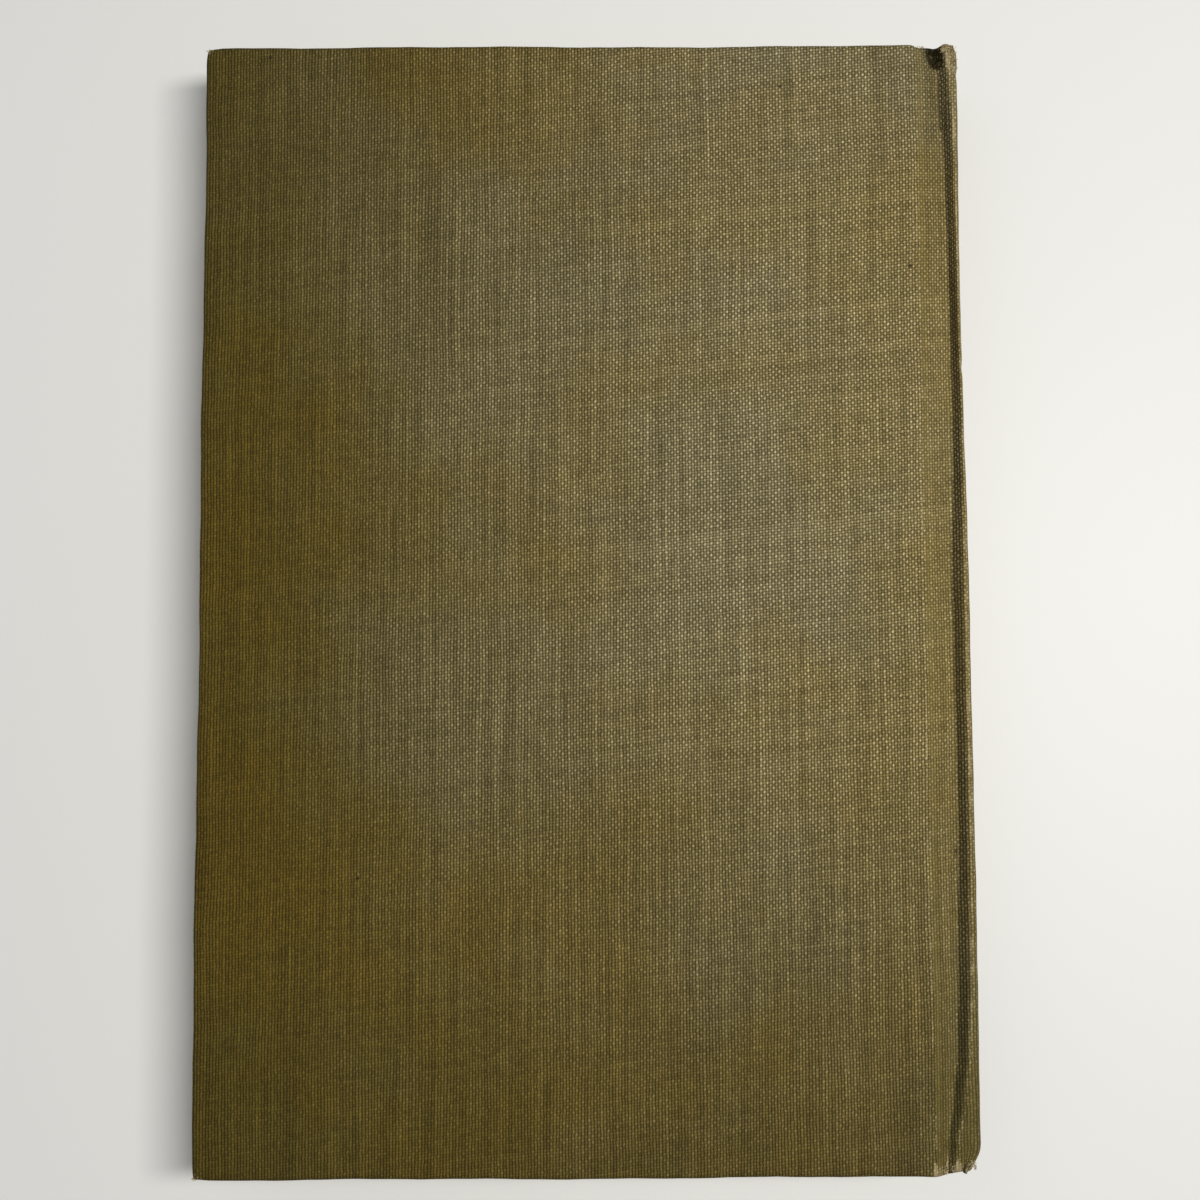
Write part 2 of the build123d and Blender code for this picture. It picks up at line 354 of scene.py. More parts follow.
def wear_marks(x, y, z, edge_near, damaged):
    """How worn pale, with painted sheen on the ridge; how smoothly pressed; and how dirty, with painted
    shade in the groove, along the rims and in the hollows; for each point of the cloth.
    """
    rim = np.clip(1 - np.abs(edge_near) / 0.9, 0, 1)
    lit = ridge_light(y)
    crest = bump_at(x, RIDGE_X - 0.5 * lit, 0.2 + 0.4 * lit) * smooth(z, MID_Z + 4.5, TOP_Z - 1.2)
    crest_x = RIDGE_X - lit
    floor_x = crest_x - flank_width(y)
    on_top = smooth(z, MID_Z + 4, TOP_Z - 2.6)
    board_line = bump_at(x, BOARD_X - 0.15, 0.2) * smooth(z, MID_Z + 5, TOP_Z - 0.3)
    groove_line = bump_at(x, floor_x - 0.1, 0.22) * on_top
    ridge_top_sheen = bump_at(x, crest_x + 0.3, 0.3) * on_top
    # The crest and the flat top of the ridge are paled partly by rubbing and partly by painted sheen
    # where the ridge catches the light.
    wear_and_sheen = 0.1 * rim + 0.16 * crest + 0.8 * board_line + 0.5 * groove_line + 0.5 * ridge_top_sheen
    corner = bump_at(np.hypot(x - FORE_X, np.abs(y) - HEAD_Y), 0.0, 2.2)
    wear_and_sheen = wear_and_sheen + 0.6 * corner
    band = smooth(x, BOARD_X + 0.05, BOARD_X + 0.3) * (1 - smooth(x, BOARD_X + 1.1, BOARD_X + 1.6))
    strip = smooth(x, BOARD_X + 1.3, BOARD_X + 1.9) * (1 - smooth(x, floor_x, floor_x + 0.4)) * on_top
    pressed = band * smooth(z, MID_Z + 5, TOP_Z - 2) + 0.6 * crest + 0.5 * strip
    valley = smooth(x, floor_x, floor_x + 0.35) * (1 - smooth(x, crest_x - 0.45, crest_x + 0.1)) * on_top
    # Painted shade: the groove under the ridge's steep side is darkened where the ridge casts its shadow,
    # and the rims of the cover are darkened where the edges fall into shade.
    dirt_and_shade = (0.62 - 0.12 * smooth(y, 55, 85)) * valley + 0.3 * rim
    # Darker along the strip beside the groove towards the head.
    dirt_and_shade = dirt_and_shade + (0.12 * smooth(y, 40, 70) + 0.14 * smooth(y, 76, 88)) * strip
    if damaged:
        cap = smooth(y, HEAD_Y - 6.5, HEAD_Y - 3) * smooth(x, RIDGE_X - 3.4, RIDGE_X - 2.0)
        foot = (1 - smooth(y, -HEAD_Y + 0.8, -HEAD_Y + 3.2)) * smooth(x, BOARD_X - 2.5, BOARD_X)
        nick = bump_at(y, 40.7, 1.3) * crest
        scuff = bump_at(y, 83.5, 1.2) * crest
        wear_and_sheen = wear_and_sheen + 0.42 * cap + 0.6 * foot + 0.4 * nick + 0.5 * scuff
        below = HEAD_Y - y
        hollow = bump_at(x, BOARD_X + 3.2 + 0.3 * below, 1.5 - 0.2 * below.clip(0, 3)) ** 0.7
        hollow = hollow * smooth(y, HEAD_Y - 4.4, HEAD_Y - 2.4)
        notch = bump_at(x, BOARD_X + 5.5, 0.7) * bump_at(y, -HEAD_Y + 0.6, 1.0)
        spot = bump_at(x, HINGE_X - 0.9, 0.35) * bump_at(y, -44, 0.7)
        # Painted shade: the pinched hollow at the head of the joint and the torn pit at the tail are
        # painted nearly black; the spot is a small dark stain in the groove.
        dirt_and_shade = dirt_and_shade + 1.0 * hollow + 1.0 * notch + 0.8 * spot
        wear_and_sheen = wear_and_sheen * (1 - np.clip(hollow + notch, 0, 1))
    return np.clip(wear_and_sheen, 0, 1), np.clip(pressed, 0, 1), np.clip(dirt_and_shade, 0, 1)


def inward(x, z):
    """Unit vectors from the outer face of the cloth towards the inside of the case."""
    dx, dz = np.gradient(x, axis=1), np.gradient(z, axis=1)
    size = np.hypot(dx, dz)
    return dz / size, -dx / size


def make_case_cloth(name, material, front, seed):
    """Half of the one cloth that covers the case, from a fore-edge to the spine's middle."""
    rows = cloth_rows()
    x, z = case_section(rows)
    count_r = len(rows)
    lengths = np.hypot(np.diff(x, axis=1), np.diff(z, axis=1))
    flat_u = np.concatenate([np.zeros((count_r, 1)), np.cumsum(lengths, axis=1)], 1) + EDGE_ROUND
    middle_u = flat_u[count_r // 2, -1]
    nx, nz = inward(x, z)
    doubled = 2 * CLOTH + 0.05
    depth = BOARD_WRAP + (doubled - BOARD_WRAP) * smooth(x[0], BOARD_X - 0.2, BOARD_X + 1.4)
    depth = depth + 0.4 * smooth(x[0], RIDGE_X - 1.6, RIDGE_X)
    points, marks_in = [], []

    def add(px, py, pz, edge):
        """Adds points with the same shape as px, and returns their numbers."""
        px, py, pz, edge = np.broadcast_arrays(px, py, pz, edge)
        first = sum(len(p) for p in points)
        points.append(np.stack([px.ravel(), py.ravel(), pz.ravel()], 1))
        marks_in.append(edge.ravel())
        return first + np.arange(px.size).reshape(px.shape)

    patches = []
    edge_gap = np.minimum(HEAD_Y - np.abs(rows)[:, None], x - FORE_X)
    face = add(x, rows[:, None] + 0 * x, z, edge_gap)
    face_v = rows[:, None] + 0 * x
    patches.append((face, flat_u, face_v, flat_u[:, -1:]))

    ends = {}
    for side in (1, -1):
        row = -1 if side > 0 else 0
        row_u = flat_u[row]
        numbers, us, vs = [face[row]], [row_u], [0 * row_u + rows[row]]
        for inset, drop, length in wrap_path(depth, TURN_IN):
            moved = squeezed(x[row], x[row][0], FORE_X + inset)
            px = moved + nx[row] * drop
            pz = z[row] + nz[row] * drop
            py = side * (HEAD_Y - inset)
            numbers.append(add(px, py + 0 * px, pz, np.abs(inset) * 0.5 + drop * 0.6))
            us.append(row_u + moved - x[row])
            vs.append(0 * row_u + rows[row] + side * length)
        ends[side] = np.stack(numbers)
        order = slice(None) if side > 0 else slice(None, None, -1)
        patches.append((ends[side][order], np.stack(us)[order], np.stack(vs)[order], row_u[-1]))

    numbers, us, vs = [face[:, 0]], [0 * rows + EDGE_ROUND], [rows]
    one = np.array(BOARD_WRAP)
    for k, (inset, drop, length) in enumerate(wrap_path(one, TURN_IN)):
        moved = -squeezed(-squeezed(rows, rows[0], -(HEAD_Y - inset)), -rows[-1], -(HEAD_Y - inset))
        inner = add(FORE_X + inset + 0 * moved[1:-1], moved[1:-1], TOP_Z - drop,
                    np.abs(inset) * 0.5 + drop * 0.6)
        numbers.append(np.concatenate([[ends[-1][k + 1, 0]], inner, [ends[1][k + 1, 0]]]))
        us.append(0 * rows + EDGE_ROUND - length)
        vs.append(moved)
    patches.append((np.stack(numbers[::-1], 1), np.stack(us[::-1], 1), np.stack(vs[::-1], 1),
                    flat_u[:, -1:]))

    flat = np.concatenate(points)
    edge = np.concatenate(marks_in)
    px, py, pz = worn_shape(flat[:, 0], flat[:, 1], flat[:, 2], seed, not front)
    wear_and_sheen, pressed, dirt_and_shade = wear_marks(flat[:, 0], flat[:, 1], flat[:, 2], edge, not front)
    if front:
        pz = TOP_Z - pz
    faces, loops = [], []
    for grid, u, v, spine_u in patches:
        if front:
            u = 2 * spine_u - u
        a, b = grid[:-1, :-1].ravel(), grid[:-1, 1:].ravel()
        c, d = grid[1:, 1:].ravel(), grid[1:, :-1].ravel()
        uv = np.stack([u, v], 2)
        parts = [uv[:-1, :-1], uv[:-1, 1:], uv[1:, 1:], uv[1:, :-1]]
        quads = np.stack([a, b, c, d], 1)
        corners = np.stack([p.reshape(-1, 2) for p in parts], 1)
        if front:
            quads, corners = quads[:, ::-1], corners[:, ::-1]
        faces += quads.tolist()
        loops.append(corners.reshape(-1, 2))
    piece = plain_mesh(name, np.stack([px, py, pz], 1), faces, material)
    layer = piece.data.uv_layers.new(name="cloth_uv")
    layer.data.foreach_set("uv", (np.concatenate(loops) * MM).astype(np.float32).ravel())
    store(piece, "wear_and_sheen", wear_and_sheen)
    store(piece, "pressed", pressed)
    store(piece, "dirt_and_shade", dirt_and_shade)
    wrap = float(wrap_path(one, TURN_IN)[-1][2]) - EDGE_ROUND
    size = ((middle_u + wrap) * MM, 2 * (HEAD_Y + wrap) * MM)
    cut_corners = wrap * wrap * MM * MM
    return thickened(piece, CLOTH), size, size[0] * size[1] - cut_corners


# ---------------------------------------------------------------- papers

def grid_piece(name, x, y, z, material, upwards):
    """A sheet over a grid of points, facing up or down."""
    numbers = np.arange(z.size).reshape(z.shape)
    a, b = numbers[:-1, :-1].ravel(), numbers[:-1, 1:].ravel()
    c, d = numbers[1:, 1:].ravel(), numbers[1:, :-1].ravel()
    quads = np.stack([a, b, c, d], 1)
    if not upwards:
        quads = quads[:, ::-1]
    return plain_mesh(name, np.stack([x.ravel(), y.ravel(), z.ravel()], 1), quads.tolist(), material)


def inside_of_board(x, y):
    """How far the pastedown stands out over what lies under it, at each place."""
    board_under = BOARD_LOW[2]
    turned = 1 - smooth(x, FORE_X + TURN_IN - 0.3, FORE_X + TURN_IN + 0.7)
    turned = np.maximum(turned, smooth(np.abs(y), HEAD_Y - TURN_IN - 0.7, HEAD_Y - TURN_IN + 0.3))
    mull = smooth(x, MULL_LOW[0] - 0.5, MULL_LOW[0] + 0.5) * (
        1 - smooth(np.abs(y), MULL_HIGH[1] - 0.5, MULL_HIGH[1] + 0.5))
    lift = np.maximum(CLOTH * turned, (MULL_HIGH[2] - MULL_LOW[2]) * mull)
    weave_of_mull = 0.015 * mull * np.sin(x * 2 * math.pi / 2.6) * np.sin(y * 2 * math.pi / 2.6)
    return board_under - (PASTE_HIGH[2] - PASTE_LOW[2] - CLOTH) - lift - weave_of_mull


def make_pastedown(name, material, front, seed):
    """Endpaper glued inside a cover, and its strip across the joint to the fold."""
    x = np.concatenate([np.linspace(PASTE_LOW[0], BOARD_X - 1, 110),
                        np.linspace(BOARD_X - 0.6, HINGE_X - 0.1, 20)])
    y = np.linspace(PASTE_LOW[1], PASTE_HIGH[1], 140)
    x, y = np.meshgrid(x, y)
    z = inside_of_board(x, y)
    z = z + 0.02 * np.sin(x / 9.0 + seed) * np.sin(y / 13.0 + seed)
    rise = smooth(x, HINGE_X - 1.9, HINGE_X + 0.4)
    strip = PASTE_LOW[2] + 0.06 * smooth(x, BOARD_X, HINGE_X - 2) + rise
    z = z + (strip - z) * smooth(x, BOARD_X - 0.8, BOARD_X + 0.8)
    if front:
        z = TOP_Z - z
    return thickened(grid_piece(name, x, y, z, material, front), PASTED_PAPER)


def make_flyleaf(name, material, front, seed):
    """Free endpaper lying on the pages, its back edge glued to the shoulder."""
    x = np.concatenate([np.linspace(FLY_LOW[0], FLY_HIGH[0] - 1, 90),
                        np.linspace(FLY_HIGH[0] - 0.6, HINGE_X - 0.15, 14)])
    y = np.linspace(FLY_LOW[1], FLY_HIGH[1], 120)
    x, y = np.meshgrid(x, y)
    lift = 0.03 * (np.sin(x / 14.0 + seed) * np.sin(y / 19.0 + 2 * seed) + 1)
    edge = smooth(np.abs(y), PAGES_HIGH[1] - 12, PAGES_HIGH[1])
    z = FLY_LOW[2] + 0.13 + lift * (1 - 0.7 * edge) + 0.92 * smooth(x, HINGE_X - 1.9, HINGE_X + 0.3)
    y = y + 0.12 * np.sin(x / 30.0 + seed)
    if front:
        z = TOP_Z - z
    return thickened(grid_piece(name, x, y, z, material, not front), FREE_PAPER)


def make_spine_card(name, material):
    """The card that stiffens the spine, trimmed to end inside the rounded ends of the cloth."""
    bpy.context.view_layer.update()
    node = bpy.data.objects["spine_inlay"]
    mesh = node.data.copy()
    mesh.transform(node.matrix_world)
    merged = bmesh.new()
    merged.from_mesh(mesh)
    bmesh.ops.remove_doubles(merged, verts=merged.verts, dist=1e-6)
    merged.to_mesh(mesh)
    merged.free()
    mesh.materials.clear()
    mesh.materials.append(material)
    reach = max(abs(vertex.co.y) for vertex in mesh.vertices)
    for vertex in mesh.vertices:
        vertex.co.y *= (reach - CARD_TRIM * MM) / reach
    card = bpy.data.objects.new(name, mesh)
    bpy.context.scene.collection.objects.link(card)
    return card


# ---------------------------------------------------------------- node wiring

def linear(red, green, blue):
    """A colour given as 0 to 255 display values, in the renderer's linear light."""
    out = []
    for part in (red, green, blue):
        part = part / 255
        out.append(part / 12.92 if part <= 0.04045 else ((part + 0.055) / 1.055) ** 2.4)
    return (*out, 1.0)


class Signal:
    """One output of a shader node, which can be used in Python sums."""

    def __init__(self, finish, socket):
        self.finish = finish
        self.socket = socket

    def sum(self, operation, *others):
        return self.finish.node("ShaderNodeMath", {"operation": operation},
                                dict(enumerate(others)))

    def __add__(self, other):
        return self.sum("ADD", self, other)

    def __sub__(self, other):
        return self.sum("SUBTRACT", self, other)

    def __rsub__(self, other):
        return self.sum("SUBTRACT", other, self)

    def __mul__(self, other):
        return self.sum("MULTIPLY", self, other)

    def __truediv__(self, other):
        return self.sum("DIVIDE", self, other)

    def __pow__(self, other):
        return self.sum("POWER", self, other)

    def __abs__(self):
        return self.sum("ABSOLUTE", self)

    __radd__ = __add__
    __rmul__ = __mul__

    def largest(self, other):
        return self.sum("MAXIMUM", self, other)


class Wiring:
    """A node tree, and the calls that add and link its nodes."""

    def __init__(self, tree):
        self.tree = tree

    def node(self, kind, settings=None, inputs=None, output=0):
        """Adds a node: its settings first, then the values or links of its sockets."""
        made = self.tree.nodes.new(kind)
        for key, value in (settings or {}).items():
            setattr(made, key, value)
        for key, value in (inputs or {}).items():
            if isinstance(value, Signal):
                self.tree.links.new(value.socket, made.inputs[key])
            else:
                made.inputs[key].default_value = value
        return Signal(self, made.outputs[output])

    def split(self, vector):
        """The X, Y and Z parts of a vector."""
        parts = self.node("ShaderNodeSeparateXYZ", {}, {0: vector}).socket.node.outputs
        return [Signal(self, parts[axis]) for axis in "XYZ"]

    def room_ray(self):
        """1 for a ray that shows the room itself: seen straight on, in gloss or through glass."""
        rays = self.node("ShaderNodeLightPath", output="Is Camera Ray").socket.node.outputs
        straight, gloss, glass = (
            Signal(self, rays["Is " + kind + " Ray"]) for kind in ("Camera", "Glossy", "Transmission"))
        return straight.largest(gloss).largest(glass)


class Finish(Wiring):
    """A material, and the nodes that finishes are made of."""

    def __init__(self, name):
        self.material = bpy.data.materials.new(name)
        self.material.use_nodes = True
        super().__init__(self.material.node_tree)
        self.shader = self.tree.nodes["Principled BSDF"]

    def place(self):
        return self.node("ShaderNodeTexCoord", output="Object")

    def mapped(self, vector, scale, location=(0, 0, 0)):
        return self.node("ShaderNodeMapping", {}, {"Vector": vector, "Scale": scale,
                                                   "Location": location})

    def noise(self, vector, scale, detail=3.0, roughness=0.55):
        return self.node("ShaderNodeTexNoise", {}, {"Vector": vector, "Scale": scale,
                                                    "Detail": detail, "Roughness": roughness})

    def attribute(self, name):
        return self.node("ShaderNodeAttribute", {"attribute_name": name}, output="Fac")

    def spread(self, value, low, high, to_low=0.0, to_high=1.0):
        """Stretches a range of a value to another, smoothly and with ends held."""
        return self.node("ShaderNodeMapRange", {"interpolation_type": "SMOOTHSTEP"},
                         {"Value": value, "From Min": low, "From Max": high,
                          "To Min": to_low, "To Max": to_high})

    def mix(self, factor, first, second):
        return self.node("ShaderNodeMix", {"data_type": "RGBA"},
                         {0: factor, 6: first, 7: second}, output=2)

    def scaled(self, colour, amount):
        return self.node("ShaderNodeVectorMath", {"operation": "SCALE"},
                         {0: colour, "Scale": amount})

    def bump(self, height, distance, strength=1.0):
        return self.node("ShaderNodeBump", {}, {"Height": height, "Distance": distance,
                                                "Strength": strength}, output="Normal")

    def feed(self, **inputs):
        """Links or sets the sockets of the material's own shader."""
        for key, value in inputs.items():
            socket = self.shader.inputs[key.replace("_", " ")]
            if isinstance(value, Signal):
                self.tree.links.new(value.socket, socket)
            else:
                socket.default_value = value
        return self.material


# ---------------------------------------------------------------- finishes

def book_cloth():
    """Olive-brown plain-weave book cloth, worn pale on its edges, with painted sheen towards the spine
    side and painted shade in the groove and along the rims.
    """
    f = Finish("book_cloth")
    flat = f.node("ShaderNodeUVMap", {"uv_map": "cloth_uv"})
    u, v = f.split(flat)[:2]
    wander_u = f.noise(f.mapped(flat, (1, 0.35, 1)), 95, 2) - 0.5
    wander_v = f.noise(f.mapped(flat, (0.5, 1, 1), (0.3, 0.1, 0)), 80, 2) - 0.5
    shake = f.noise(flat, 900, 1) - 0.5
    warp = u / (PITCH_WARP * MM) + wander_u * 1.6 + shake * 0.5
    weft = (v - u * WEFT_SLOPE) / (PITCH_WEFT * MM) + wander_v * 1.8 + shake * 0.5
    across = (warp * math.pi).sum("COSINE", warp * math.pi)
    along = (weft * math.pi).sum("COSINE", weft * math.pi)
    sign_u = across.sum("SIGN", across)
    sign_v = along.sum("SIGN", along)
    pressed = f.attribute("pressed")
    wear_and_sheen = f.attribute("wear_and_sheen")
    dirt_and_shade = f.attribute("dirt_and_shade")

    warp_number = warp.sum("ROUND", warp)
    weft_number = weft.sum("ROUND", weft)
    crossing = f.node("ShaderNodeCombineXYZ", {}, {0: warp_number, 1: weft_number})
    knot = f.node("ShaderNodeTexWhiteNoise", {"noise_dimensions": "2D"}, {"Vector": crossing})
    thread_line = f.node("ShaderNodeCombineXYZ", {}, {0: warp_number * 3.71, 1: v * 26})
    warp_tone = f.spread(f.noise(thread_line, 1.0, 1), 0.25, 0.75)
    weft_tone = f.node("ShaderNodeTexWhiteNoise", {"noise_dimensions": "1D"},
                       {"W": weft_number + 0.37})
    warp_slub = f.spread(f.noise(f.mapped(flat, (1, 0.035, 1), (0, 0.2, 0)), 1500, 2), 0.55, 0.8)
    weft_slub = f.spread(f.noise(f.mapped(flat, (0.03, 1, 1), (0.1, 0, 0)), 1500, 2), 0.56, 0.82)

    warp_rise = (abs(across) ** 0.65) * (0.6 + 0.4 * (along * sign_u)) * (0.89 + 0.17 * warp_tone)
    weft_rise = (abs(along) ** 0.55) * (0.48 - 0.16 * (across * sign_v)) * (0.84 + 0.22 * weft_tone)
    weave = warp_rise.largest(weft_rise)
    rib = (abs(across) ** 0.8) * (0.7 + 0.22 * warp_tone) + 0.12 * weft_rise
    weave = weave * (1 - 0.2 * pressed) + 0.1 * pressed
    fluff = f.noise(flat, 3600, 2)
    height = weave + 0.22 * fluff + 0.25 * warp_slub

    place = f.place()
    cloud = f.noise(f.mapped(place, (1, 1, 1), (0.02, 0.31, 0.0)), 17, 4, 0.6)
    patch = f.noise(f.mapped(place, (1, 0.8, 1), (0.5, 0.1, 0.2)), 42, 3, 0.6)
    fine = f.noise(place, 420, 3, 0.65)

    flat_x, flat_y = f.split(place)[:2]
    # Painted light and sheen: the colour grows paler and greyer towards the spine side and away from the
    # tail, and the weave turns from ribs to bright dots there, standing in for the light and sheen from
    # the right.
    painted_sheen = f.spread(flat_x + (cloud - 0.5) * 0.07, -0.068, 0.048)
    painted_sheen = painted_sheen * f.spread(flat_y + (patch - 0.5) * 0.04, -0.115, 0.015, 0.12, 1.0)
    gap = f.mix(painted_sheen, linear(52, 42, 12), linear(70, 60, 26))
    brown = f.mix(painted_sheen, linear(104, 85, 26), linear(158, 138, 84))
    green = f.mix(painted_sheen, linear(98, 85, 32), linear(152, 141, 104))
    body = f.mix(f.spread(cloud, 0.38, 0.62), brown, green)
    body = f.mix(f.spread(patch, 0.45, 0.72, 0, 0.3) * painted_sheen, body, linear(146, 128, 88))
    # Thread tops: a little dust everywhere, and painted glints of sheen on the thread tops towards the
    # lit spine side.
    dust_and_glints = f.spread(weave, 0.6, 1.05, 0, 0.04) + f.spread(weave, 0.6, 1.02, 0, 0.74) * painted_sheen
    dust_and_glints = dust_and_glints * (0.3 + 0.9 * fine + 0.5 * knot)
    yarn = f.mix(dust_and_glints, body, linear(196, 184, 152))
    lines = rib + (weave - rib) * (0.3 + 0.7 * painted_sheen)
    colour = f.mix(f.spread(lines, 0.19, 0.8), gap, yarn)
    tone = 0.6 + 0.17 * warp_tone + 0.05 * weft_tone + 0.3 * knot
    tone = tone * (0.8 + 0.4 * fine)
    # Painted shade: darker towards the fore-edge and the tail; a little darker towards the head as well.
    tone = tone * f.spread(flat_x, -0.07, -0.03, 0.93, 1.0)
    tone = tone * f.spread(flat_y, -0.105, -0.05, 0.86, 1.0)
    tone = tone * f.spread(flat_y, 0.03, 0.09, 1.0, 0.93)
    tone = tone + 0.3 * warp_slub + 0.1 * weft_slub
    colour = f.scaled(colour, tone)
    band = f.mix(f.spread(fine, 0.3, 0.7), linear(116, 102, 44), linear(132, 116, 64))
    colour = f.mix(pressed * 0.24, colour, band)
    # Pale rubbed wear on edges, corners and spine ends, and painted sheen along the ridge top.
    rubbed_and_sheen = f.spread(wear_and_sheen + 0.9 * (fine - 0.5) + 0.45 * (weave - 0.6), 0.36, 0.95)
    colour = f.mix(rubbed_and_sheen * 0.72, colour, linear(186, 168, 128))
    speck = f.node("ShaderNodeTexVoronoi", {"feature": "F1"}, {"Vector": place, "Scale": 62.0})
    speck_mask = f.spread(speck, 0.028, 0.05, 1, 0)
    speck_pick = f.spread(f.noise(f.mapped(place, (1, 1, 1), (0.7, 0.2, 0.4)), 31, 1), 0.58, 0.6)
    blots = speck_mask * speck_pick
    for speck_x, speck_y in SPECKS:
        off_x = flat_x - speck_x * MM
        off_y = flat_y - speck_y * MM
        blots = blots.largest(f.spread(off_x * off_x + off_y * off_y, 3e-8, 2e-7, 1, 0))
    colour = f.mix(blots * 0.8, colour, linear(34, 28, 16))
    # Dirt, and painted shade in the groove, along the rims and in the hollows, darken the colour towards
    # near black.
    colour = f.mix(dirt_and_shade * (1.0 - 0.22 * weave), colour, linear(20, 15, 5))
    thread_bump = f.bump(height, 0.00016, 1.0)
    rough = 0.5 + 0.2 * fluff - 0.06 * pressed
    return f.feed(Base_Color=colour, Roughness=rough, Normal=thread_bump,
                  Specular_IOR_Level=0.07)


def simple_paper(name, light, dark, fibre_scale=700, foxing=0.5):
    """Paper or card with fibres, slow stains and small foxing spots."""
    f = Finish(name)
    place = f.place()
    fibre = f.noise(place, fibre_scale, 4, 0.7)
    stain = f.noise(f.mapped(place, (1, 1, 1), (0.2, 0.6, 0.1)), 24, 4, 0.6)
    spots = f.noise(f.mapped(place, (1, 1, 1), (0.9, 0.4, 0.3)), 160, 2, 0.5)
    colour = f.mix(f.spread(stain, 0.35, 0.72), light, dark)
    colour = f.mix(f.spread(spots, 0.66, 0.76) * foxing, colour, linear(150, 108, 62))
    colour = f.scaled(colour, 0.9 + 0.2 * fibre)
    return f.feed(Base_Color=colour, Roughness=0.82 + 0.12 * fibre,
                  Normal=f.bump(fibre, 0.00006, 0.5), Specular_IOR_Level=0.25)


def leaf_paper():
    """Edges of old pages, each leaf a little different."""
    f = Finish("page_edges")
    place = f.place()
    tone = f.attribute("leaf_tone")
    fibre = f.noise(f.mapped(place, (1, 1, 3)), 900, 3, 0.65)
    stain = f.noise(f.mapped(place, (1, 1, 0.4), (0.1, 0.3, 0.5)), 30, 4, 0.6)
    colour = f.mix(tone, linear(214, 199, 164), linear(231, 219, 190))
    colour = f.mix(f.spread(stain, 0.4, 0.75, 0, 0.6), colour, linear(186, 158, 112))
    colour = f.scaled(colour, 0.88 + 0.2 * fibre)
    return f.feed(Base_Color=colour, Roughness=0.85 + 0.1 * fibre,
                  Normal=f.bump(fibre, 0.00005, 0.5), Specular_IOR_Level=0.2)


def mull_gauze():
    """Open starched gauze, its threads far apart."""
    f = Finish("mull_gauze")
    place = f.place()
    x, y, z = f.split(place)
    wobble = f.noise(place, 350, 2) - 0.5
    one = ((x + z) / 0.0009 + wobble) * 2 * math.pi
    two = (y / 0.0009 + wobble) * 2 * math.pi
    thread = (one.sum("COSINE", one)).largest(two.sum("COSINE", two))
    mask = f.spread(thread, 0.2, 0.8)
    colour = f.mix(mask, linear(150, 132, 100), linear(214, 204, 178))
    return f.feed(Base_Color=colour, Roughness=0.8 + 0.1 * wobble,
                  Normal=f.bump(mask, 0.00015, 0.8), Specular_IOR_Level=0.25)


def fray_thread():
    """Pale broken threads of the cloth."""
    f = Finish("frayed_thread")
    place = f.place()
    tone = f.noise(place, 1400, 3, 0.6)
    colour = f.mix(f.spread(tone, 0.35, 0.65), linear(134, 116, 74), linear(206, 190, 150))
    return f.feed(Base_Color=colour, Roughness=0.7 + 0.2 * tone,
                  Normal=f.bump(tone, 0.00004, 0.5), Specular_IOR_Level=0.3)


def table_top():
    """Plain pale floor."""
    f = Finish("pale_floor")
    place = f.place()
    tone = f.noise(place, 5, 3, 0.5)
    colour = f.mix(tone, linear(226, 226, 222), linear(232, 231, 229))
    f.feed(Base_Color=colour, Roughness=0.42 + 0.1 * tone, Specular_IOR_Level=0.3)
    away = f.node("ShaderNodeVectorMath", {"operation": "LENGTH"}, {0: place}, output="Value")
    glow = f.node("ShaderNodeEmission", {}, {"Color": linear(226, 226, 223), "Strength": 1.0})
    plain = Signal(f, f.shader.outputs[0])
    far = f.spread(away, 0.2, 1.3) * f.room_ray()
    both = f.node("ShaderNodeMixShader", {}, {0: far, 1: plain, 2: glow})
    f.tree.links.new(both.socket, f.tree.nodes["Material Output"].inputs["Surface"])
    return f.material


CLOTH_FINISH = book_cloth()
PAPER = simple_paper("endpaper", linear(222, 210, 180), linear(205, 186, 146))
MILLBOARD = simple_paper("millboard", linear(152, 136, 104), linear(128, 112, 82), 420, 0.2)
CARD = simple_paper("spine_card", linear(176, 156, 118), linear(156, 134, 98), 520, 0.2)
BROWN_PAPER = simple_paper("brown_lining_paper", linear(164, 132, 92), linear(142, 110, 74), 600, 0.2)
LEAF = leaf_paper()
GAUZE = mull_gauze()
FRAY = fray_thread()
FLOOR = table_top()

CAD_FINISH = {
    "back_board": MILLBOARD, "front_board": MILLBOARD, "spine_inlay": CARD,
    "spine_lining_paper": BROWN_PAPER, "spine_mull": GAUZE,
    "back_mull_flange": GAUZE, "front_mull_flange": GAUZE,
}
for node_name, node_finish in CAD_FINISH.items():
    node_object = bpy.data.objects[node_name]
    for place_slot in node_object.material_slots:
        place_slot.material = node_finish


# ---------------------------------------------------------------- repeated pieces

